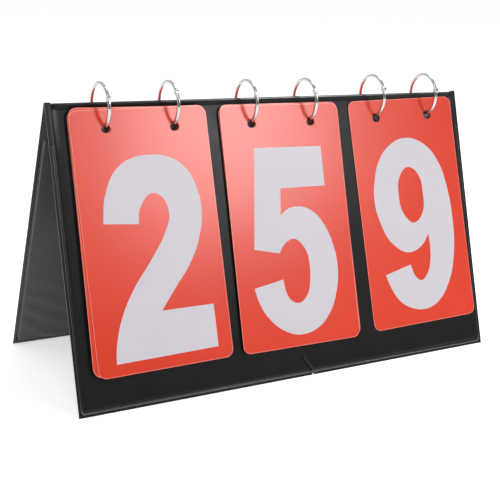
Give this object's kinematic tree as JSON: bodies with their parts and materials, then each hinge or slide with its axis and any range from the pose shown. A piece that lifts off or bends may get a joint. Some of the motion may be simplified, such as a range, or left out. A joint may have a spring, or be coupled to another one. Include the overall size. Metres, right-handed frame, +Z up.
{
  "type": "tabletop flip scoreboard",
  "caption": "Folding tent-shaped tabletop flip scoreboard with red number cards hung on hinged snap rings over a vinyl-covered ridge.",
  "frame": {"origin": "bottom centre on the table, midway between the two hems and between the ends", "axes": "+X along the ridge to the right as the shown cards are read, -Y towards the reader, +Z up"},
  "size_m": [0.37, 0.1476, 0.2232],
  "materials": {
    "cover_vinyl": "soft satin vinyl",
    "liner_vinyl": "soft satin vinyl",
    "card_red": "glossy",
    "board": "matte",
    "ring_chrome": "polished",
    "cord_black": "braided elastic"
  },
  "bodies": {
    "front_leg": {"front_cover": "cover_vinyl", "front_board": "board", "front_liner": "liner_vinyl", "ridge_fold": "cover_vinyl", "cord_front_loop": "cord_black", "cord_span": "cord_black"},
    "rear_leg": {"rear_cover": "cover_vinyl", "rear_board": "board", "rear_liner": "liner_vinyl", "cord_rear_loop": "cord_black"},
    "left_card_9": {"left_card_9": "card_red"},
    "left_card_8": {"left_card_8": "card_red"},
    "left_card_7": {"left_card_7": "card_red"},
    "left_card_6": {"left_card_6": "card_red"},
    "left_card_5": {"left_card_5": "card_red"},
    "left_card_4": {"left_card_4": "card_red"},
    "left_card_3": {"left_card_3": "card_red"},
    "left_rings": {"ring_1_fixed_half": "ring_chrome", "ring_1_rivet": "ring_chrome", "ring_2_fixed_half": "ring_chrome", "ring_2_rivet": "ring_chrome"},
    "left_card_2": {"left_card_2": "card_red"},
    "ring_1_opening": {"ring_1_opening_half": "ring_chrome"},
    "ring_2_opening": {"ring_2_opening_half": "ring_chrome"},
    "left_card_0": {"left_card_0": "card_red"},
    "left_card_1": {"left_card_1": "card_red"},
    "middle_card_9": {"middle_card_9": "card_red"},
    "middle_card_8": {"middle_card_8": "card_red"},
    "middle_card_7": {"middle_card_7": "card_red"},
    "middle_card_6": {"middle_card_6": "card_red"},
    "middle_rings": {"ring_3_fixed_half": "ring_chrome", "ring_3_rivet": "ring_chrome", "ring_4_fixed_half": "ring_chrome", "ring_4_rivet": "ring_chrome"},
    "middle_card_5": {"middle_card_5": "card_red"},
    "ring_3_opening": {"ring_3_opening_half": "ring_chrome"},
    "ring_4_opening": {"ring_4_opening_half": "ring_chrome"},
    "middle_card_0": {"middle_card_0": "card_red"},
    "middle_card_1": {"middle_card_1": "card_red"},
    "middle_card_2": {"middle_card_2": "card_red"},
    "middle_card_3": {"middle_card_3": "card_red"},
    "middle_card_4": {"middle_card_4": "card_red"},
    "right_rings": {"ring_5_fixed_half": "ring_chrome", "ring_5_rivet": "ring_chrome", "ring_6_fixed_half": "ring_chrome", "ring_6_rivet": "ring_chrome"},
    "right_card_9": {"right_card_9": "card_red"},
    "ring_5_opening": {"ring_5_opening_half": "ring_chrome"},
    "ring_6_opening": {"ring_6_opening_half": "ring_chrome"},
    "right_card_0": {"right_card_0": "card_red"},
    "right_card_1": {"right_card_1": "card_red"},
    "right_card_2": {"right_card_2": "card_red"},
    "right_card_3": {"right_card_3": "card_red"},
    "right_card_4": {"right_card_4": "card_red"},
    "right_card_5": {"right_card_5": "card_red"},
    "right_card_6": {"right_card_6": "card_red"},
    "right_card_7": {"right_card_7": "card_red"},
    "right_card_8": {"right_card_8": "card_red"}
  },
  "joints": [
    {"name": "stand_fold", "type": "hinge", "parent": "front_leg", "child": "rear_leg", "pos_m": [0, 0, 0.20535], "axis": [1, 0, 0], "range_deg": [-34, 0], "deforming": ["ridge_fold", "cord_span"]},
    {"name": "left_9_lift", "type": "hinge", "parent": "front_leg", "child": "left_card_9", "pos_m": [0, 0, 0.20385], "axis": [1, 0, 0], "range_deg": [-10.29, 0]},
    {"name": "left_8_lift", "type": "hinge", "parent": "left_card_9", "child": "left_card_8", "pos_m": [0, 0, 0.20385], "axis": [1, 0, 0], "range_deg": [-10.29, 0]},
    {"name": "left_7_lift", "type": "hinge", "parent": "left_card_8", "child": "left_card_7", "pos_m": [0, 0, 0.20385], "axis": [1, 0, 0], "range_deg": [-10.29, 0]},
    {"name": "left_6_lift", "type": "hinge", "parent": "left_card_7", "child": "left_card_6", "pos_m": [0, 0, 0.20385], "axis": [1, 0, 0], "range_deg": [-10.29, 0]},
    {"name": "left_5_lift", "type": "hinge", "parent": "left_card_6", "child": "left_card_5", "pos_m": [0, 0, 0.20385], "axis": [1, 0, 0], "range_deg": [-10.29, 0]},
    {"name": "left_4_lift", "type": "hinge", "parent": "left_card_5", "child": "left_card_4", "pos_m": [0, 0, 0.20385], "axis": [1, 0, 0], "range_deg": [-10.29, 0]},
    {"name": "left_3_lift", "type": "hinge", "parent": "left_card_4", "child": "left_card_3", "pos_m": [0, 0, 0.20385], "axis": [1, 0, 0], "range_deg": [-10.29, 0]},
    {"name": "left_rings_turn", "type": "hinge", "parent": "left_card_3", "child": "left_rings", "pos_m": [0, 0, 0.20385], "axis": [-1, 0, 0], "range_deg": [0, 288.3]},
    {"name": "left_2_swing", "type": "hinge", "parent": "left_rings", "child": "left_card_2", "pos_m": [0, -0.01051, 0.19113], "axis": [-1, 0, 0], "range_deg": [0, 33.5]},
    {"name": "ring_1_open", "type": "hinge", "parent": "left_rings", "child": "ring_1_opening", "pos_m": [0, -0.01457, 0.21159], "axis": [1, 0, 0], "range_deg": [0, 55]},
    {"name": "ring_2_open", "type": "hinge", "parent": "left_rings", "child": "ring_2_opening", "pos_m": [0, -0.01264, 0.21445], "axis": [1, 0, 0], "range_deg": [0, 55]},
    {"name": "left_0_lift", "type": "hinge", "parent": "rear_leg", "child": "left_card_0", "pos_m": [0, 0, 0.20385], "axis": [-1, 0, 0], "range_deg": [-36, 0]},
    {"name": "left_1_lift", "type": "hinge", "parent": "left_card_0", "child": "left_card_1", "pos_m": [0, 0, 0.20385], "axis": [-1, 0, 0], "range_deg": [-36, 0]},
    {"name": "middle_9_lift", "type": "hinge", "parent": "front_leg", "child": "middle_card_9", "pos_m": [0, 0, 0.20345], "axis": [1, 0, 0], "range_deg": [-18, 0]},
    {"name": "middle_8_lift", "type": "hinge", "parent": "middle_card_9", "child": "middle_card_8", "pos_m": [0, 0, 0.20345], "axis": [1, 0, 0], "range_deg": [-18, 0]},
    {"name": "middle_7_lift", "type": "hinge", "parent": "middle_card_8", "child": "middle_card_7", "pos_m": [0, 0, 0.20345], "axis": [1, 0, 0], "range_deg": [-18, 0]},
    {"name": "middle_6_lift", "type": "hinge", "parent": "middle_card_7", "child": "middle_card_6", "pos_m": [0, 0, 0.20345], "axis": [1, 0, 0], "range_deg": [-18, 0]},
    {"name": "middle_rings_turn", "type": "hinge", "parent": "middle_card_6", "child": "middle_rings", "pos_m": [0, 0, 0.20345], "axis": [-1, 0, 0], "range_deg": [0, 287.41]},
    {"name": "middle_5_swing", "type": "hinge", "parent": "middle_rings", "child": "middle_card_5", "pos_m": [0, -0.00949, 0.18995], "axis": [-1, 0, 0], "range_deg": [0, 34.39]},
    {"name": "ring_3_open", "type": "hinge", "parent": "middle_rings", "child": "ring_3_opening", "pos_m": [0, -0.01457, 0.21119], "axis": [1, 0, 0], "range_deg": [0, 55]},
    {"name": "ring_4_open", "type": "hinge", "parent": "middle_rings", "child": "ring_4_opening", "pos_m": [0, -0.01368, 0.21268], "axis": [1, 0, 0], "range_deg": [0, 55]},
    {"name": "middle_0_lift", "type": "hinge", "parent": "rear_leg", "child": "middle_card_0", "pos_m": [0, 0, 0.20345], "axis": [-1, 0, 0], "range_deg": [-14.4, 0]},
    {"name": "middle_1_lift", "type": "hinge", "parent": "middle_card_0", "child": "middle_card_1", "pos_m": [0, 0, 0.20345], "axis": [-1, 0, 0], "range_deg": [-14.4, 0]},
    {"name": "middle_2_lift", "type": "hinge", "parent": "middle_card_1", "child": "middle_card_2", "pos_m": [0, 0, 0.20345], "axis": [-1, 0, 0], "range_deg": [-14.4, 0]},
    {"name": "middle_3_lift", "type": "hinge", "parent": "middle_card_2", "child": "middle_card_3", "pos_m": [0, 0, 0.20345], "axis": [-1, 0, 0], "range_deg": [-14.4, 0]},
    {"name": "middle_4_lift", "type": "hinge", "parent": "middle_card_3", "child": "middle_card_4", "pos_m": [0, 0, 0.20345], "axis": [-1, 0, 0], "range_deg": [-14.4, 0]},
    {"name": "right_rings_turn", "type": "hinge", "parent": "front_leg", "child": "right_rings", "pos_m": [0, 0, 0.20535], "axis": [-1, 0, 0], "range_deg": [0, 291.65]},
    {"name": "right_9_swing", "type": "hinge", "parent": "right_rings", "child": "right_card_9", "pos_m": [0, -0.00737, 0.19058], "axis": [-1, 0, 0], "range_deg": [0, 30.15]},
    {"name": "ring_5_open", "type": "hinge", "parent": "right_rings", "child": "ring_5_opening", "pos_m": [0, -0.01457, 0.21309], "axis": [1, 0, 0], "range_deg": [0, 55]},
    {"name": "ring_6_open", "type": "hinge", "parent": "right_rings", "child": "ring_6_opening", "pos_m": [0, -0.0155, 0.21099], "axis": [1, 0, 0], "range_deg": [0, 55]},
    {"name": "right_0_lift", "type": "hinge", "parent": "rear_leg", "child": "right_card_0", "pos_m": [0, 0, 0.20535], "axis": [-1, 0, 0], "range_deg": [-8, 0]},
    {"name": "right_1_lift", "type": "hinge", "parent": "right_card_0", "child": "right_card_1", "pos_m": [0, 0, 0.20535], "axis": [-1, 0, 0], "range_deg": [-8, 0]},
    {"name": "right_2_lift", "type": "hinge", "parent": "right_card_1", "child": "right_card_2", "pos_m": [0, 0, 0.20535], "axis": [-1, 0, 0], "range_deg": [-8, 0]},
    {"name": "right_3_lift", "type": "hinge", "parent": "right_card_2", "child": "right_card_3", "pos_m": [0, 0, 0.20535], "axis": [-1, 0, 0], "range_deg": [-8, 0]},
    {"name": "right_4_lift", "type": "hinge", "parent": "right_card_3", "child": "right_card_4", "pos_m": [0, 0, 0.20535], "axis": [-1, 0, 0], "range_deg": [-8, 0]},
    {"name": "right_5_lift", "type": "hinge", "parent": "right_card_4", "child": "right_card_5", "pos_m": [0, 0, 0.20535], "axis": [-1, 0, 0], "range_deg": [-8, 0]},
    {"name": "right_6_lift", "type": "hinge", "parent": "right_card_5", "child": "right_card_6", "pos_m": [0, 0, 0.20535], "axis": [-1, 0, 0], "range_deg": [-8, 0]},
    {"name": "right_7_lift", "type": "hinge", "parent": "right_card_6", "child": "right_card_7", "pos_m": [0, 0, 0.20535], "axis": [-1, 0, 0], "range_deg": [-8, 0]},
    {"name": "right_8_lift", "type": "hinge", "parent": "right_card_7", "child": "right_card_8", "pos_m": [0, 0, 0.20535], "axis": [-1, 0, 0], "range_deg": [-8, 0]}
  ],
  "couplings": [
    {"joint": "left_2_swing", "follows": "left_rings_turn", "ratio": 0.11552},
    {"joint": "middle_5_swing", "follows": "middle_rings_turn", "ratio": 0.11898},
    {"joint": "right_9_swing", "follows": "right_rings_turn", "ratio": 0.10268}
  ]
}
